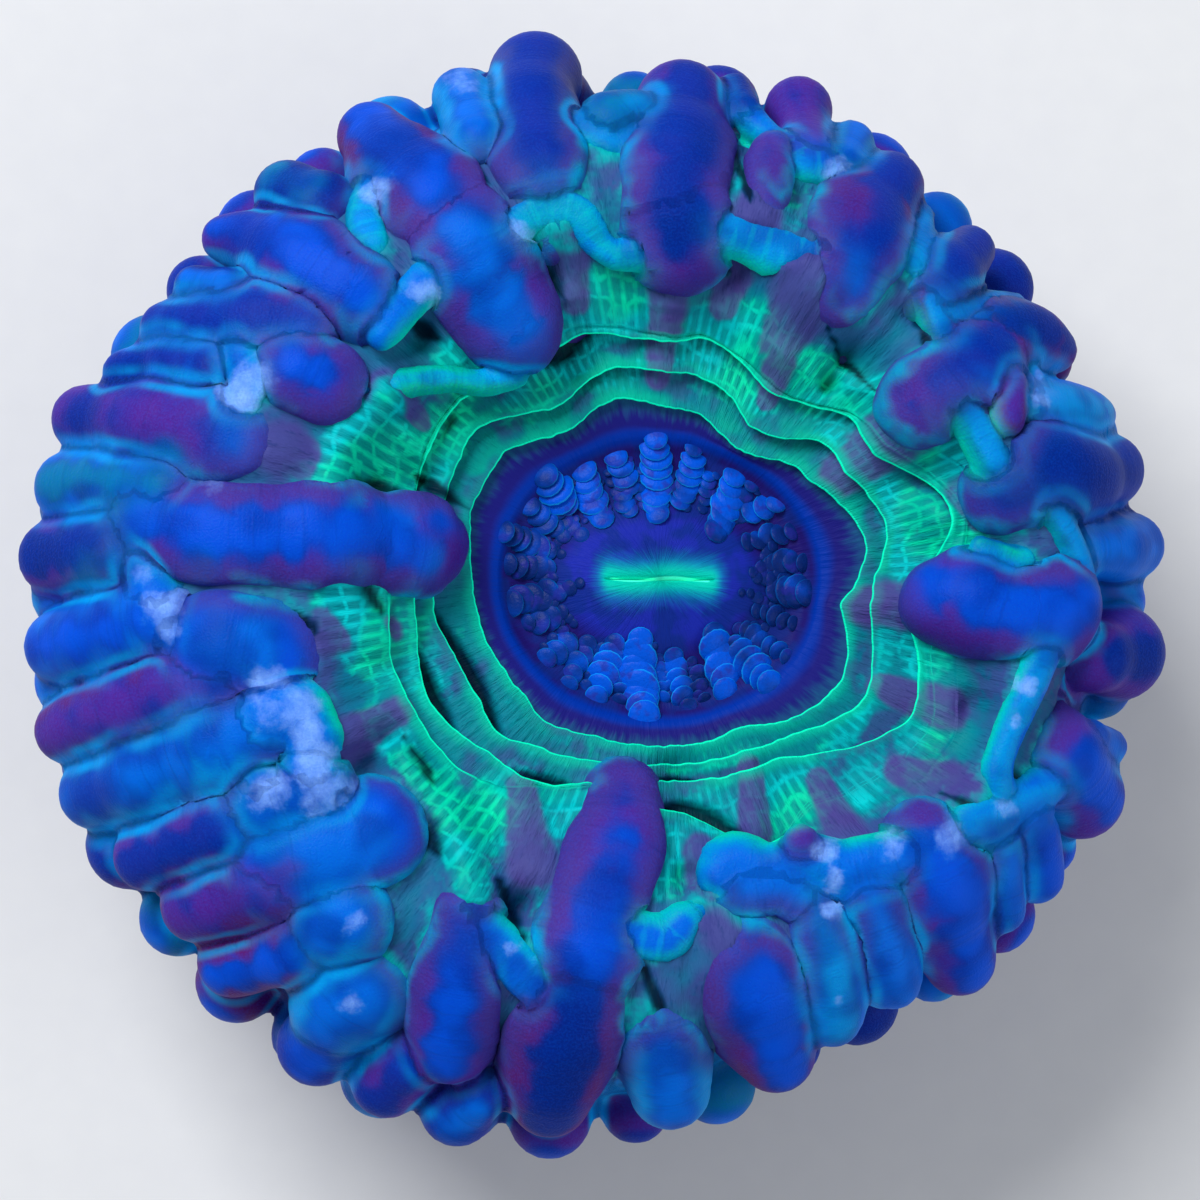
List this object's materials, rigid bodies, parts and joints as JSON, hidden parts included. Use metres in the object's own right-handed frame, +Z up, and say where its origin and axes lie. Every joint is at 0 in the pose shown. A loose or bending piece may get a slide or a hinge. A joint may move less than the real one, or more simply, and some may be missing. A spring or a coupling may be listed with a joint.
{
  "type": "button coral",
  "caption": "Single large button coral polyp with swollen lobes round a sunken oral disc, on a short stony foot cut off flat.",
  "frame": {"origin": "middle of the flat cut under the foot", "axes": "+Z up from the flat cut through the polyp, with the mouth slit along X and a little off the middle towards +X"},
  "size_m": [0.084, 0.0819, 0.04],
  "materials": {
    "tissue": "satin",
    "skeleton": "matte"
  },
  "bodies": {
    "root": {"polyp": "tissue"}
  },
  "joints": []
}
